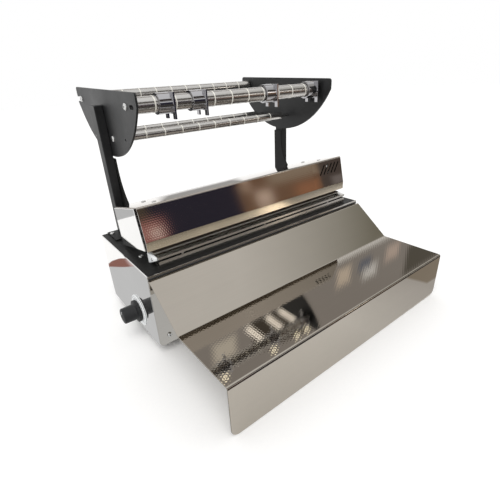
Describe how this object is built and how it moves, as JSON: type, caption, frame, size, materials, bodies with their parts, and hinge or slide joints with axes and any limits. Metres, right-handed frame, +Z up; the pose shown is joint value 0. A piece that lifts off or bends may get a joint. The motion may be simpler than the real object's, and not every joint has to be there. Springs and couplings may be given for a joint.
{
  "type": "impulse heat sealer",
  "caption": "Table-top impulse heat sealer with a hinged pressing arm, a folded work tray, a timer knob and a stand with chromed rollers for a film roll.",
  "frame": {"origin": "middle of the overall footprint, on the table", "axes": "+X along the jaw to the right, +Y from the work tray towards the roll stand, +Z up"},
  "size_m": [0.425, 0.4296, 0.3265],
  "materials": {
    "polished_steel": "mirror-polished stainless sheet",
    "brushed_steel": "brushed stainless sheet",
    "black_paint": "semi-gloss black powder coat",
    "aluminium": "bright extrusion",
    "bright_steel": "bright steel",
    "chromed_steel": "chromed steel tube and sheet",
    "black_rubber": "matt rubber",
    "pale_silicone": "translucent silicone",
    "brown_glass_cloth": "coated glass cloth",
    "white_plastic": "satin white",
    "black_plastic": "satin black",
    "lacquered_copper": "lacquered wire",
    "green_board": "solder mask"
  },
  "bodies": {
    "frame": {"base_pan": "brushed_steel", "left_side_plate": "polished_steel", "right_side_plate": "polished_steel", "front_panel": "polished_steel", "back_panel": "brushed_steel", "top_deck": "black_paint", "work_tray": "polished_steel", "foot_front_left": "black_rubber", "foot_front_right": "black_rubber", "foot_rear_left": "black_rubber", "foot_rear_right": "black_rubber", "front_screw_left": "bright_steel", "front_screw_right": "bright_steel", "lower_jaw": "aluminium", "insulating_strip": "white_plastic", "heating_element": "bright_steel", "cover_tape": "brown_glass_cloth", "element_clamp_left": "white_plastic", "element_clamp_right": "white_plastic", "hinge_rod": "bright_steel", "spring_left": "bright_steel", "spring_right": "bright_steel", "stand_foot_left": "black_paint", "stand_foot_right": "black_paint", "post_left": "black_paint", "post_right": "black_paint", "roll_plate_left": "black_paint", "roll_plate_right": "black_paint", "upper_front_axle": "bright_steel", "upper_rear_axle": "bright_steel", "lower_front_axle": "bright_steel", "lower_rear_axle": "bright_steel", "dial_plate": "white_plastic", "timer_body": "white_plastic", "micro_switch": "black_plastic", "switch_bracket": "brushed_steel", "transformer_core": "bright_steel", "transformer_winding": "lacquered_copper", "control_board": "green_board", "cord_gland": "black_plastic", "gland_nut": "black_plastic"},
    "arm": {"arm_cover": "polished_steel", "arm_cap_left": "polished_steel", "arm_cap_right": "polished_steel", "arm_lever_left": "bright_steel", "arm_lever_right": "bright_steel", "pressure_bar": "aluminium", "silicone_pad": "pale_silicone"},
    "knob": {"timer_knob": "black_plastic", "timer_shaft": "bright_steel"},
    "upper_front_roller": {"upper_front_tube": "chromed_steel"},
    "upper_rear_roller": {"upper_rear_tube": "chromed_steel"},
    "lower_front_roller": {"lower_front_tube": "chromed_steel"},
    "lower_rear_roller": {"lower_rear_tube": "chromed_steel"},
    "stop_1": {"roll_stop_1": "chromed_steel"},
    "stop_2": {"roll_stop_2": "chromed_steel"},
    "stop_3": {"roll_stop_3": "chromed_steel"},
    "stop_4": {"roll_stop_4": "chromed_steel"},
    "plunger": {"switch_plunger": "white_plastic"}
  },
  "joints": [
    {"name": "arm_hinge", "type": "hinge", "parent": "frame", "child": "arm", "pos_m": [0.0125, 0.0948, 0.143], "axis": [1, 0, 0], "range_deg": [0, 2.88], "stiffness_Nm_per_rad": 8, "springref_deg": -17.19, "deforming": ["spring_left", "spring_right"]},
    {"name": "knob_turn", "type": "hinge", "parent": "frame", "child": "knob", "pos_m": [-0.1875, 0.0053, 0.042], "axis": [1, 0, 0], "range_deg": [0, 270]},
    {"name": "upper_front_spin", "type": "hinge", "parent": "frame", "child": "upper_front_roller", "pos_m": [0.0125, 0.0178, 0.305], "axis": [1, 0, 0], "continuous": true},
    {"name": "upper_rear_spin", "type": "hinge", "parent": "frame", "child": "upper_rear_roller", "pos_m": [0.0125, 0.1948, 0.31], "axis": [1, 0, 0], "continuous": true},
    {"name": "lower_front_spin", "type": "hinge", "parent": "frame", "child": "lower_front_roller", "pos_m": [0.0125, 0.0858, 0.262], "axis": [1, 0, 0], "continuous": true},
    {"name": "lower_rear_spin", "type": "hinge", "parent": "frame", "child": "lower_rear_roller", "pos_m": [0.0125, 0.1558, 0.2601], "axis": [1, 0, 0], "continuous": true},
    {"name": "stop_1_slide", "type": "slide", "parent": "frame", "child": "stop_1", "axis": [1, 0, 0], "range_m": [-0.032, 0.0125]},
    {"name": "stop_2_slide", "type": "slide", "parent": "frame", "child": "stop_2", "axis": [1, 0, 0], "range_m": [-0.0125, 0.051]},
    {"name": "stop_3_slide", "type": "slide", "parent": "frame", "child": "stop_3", "axis": [1, 0, 0], "range_m": [-0.051, 0.033]},
    {"name": "stop_4_slide", "type": "slide", "parent": "frame", "child": "stop_4", "axis": [1, 0, 0], "range_m": [-0.033, 0.002]},
    {"name": "plunger_press", "type": "slide", "parent": "frame", "child": "plunger", "axis": [0, 0, -1], "range_m": [0, 0.0012]}
  ],
  "couplings": [
    {"joint": "plunger_press", "follows": "arm_hinge", "m_per_rad": 0.02387}
  ]
}
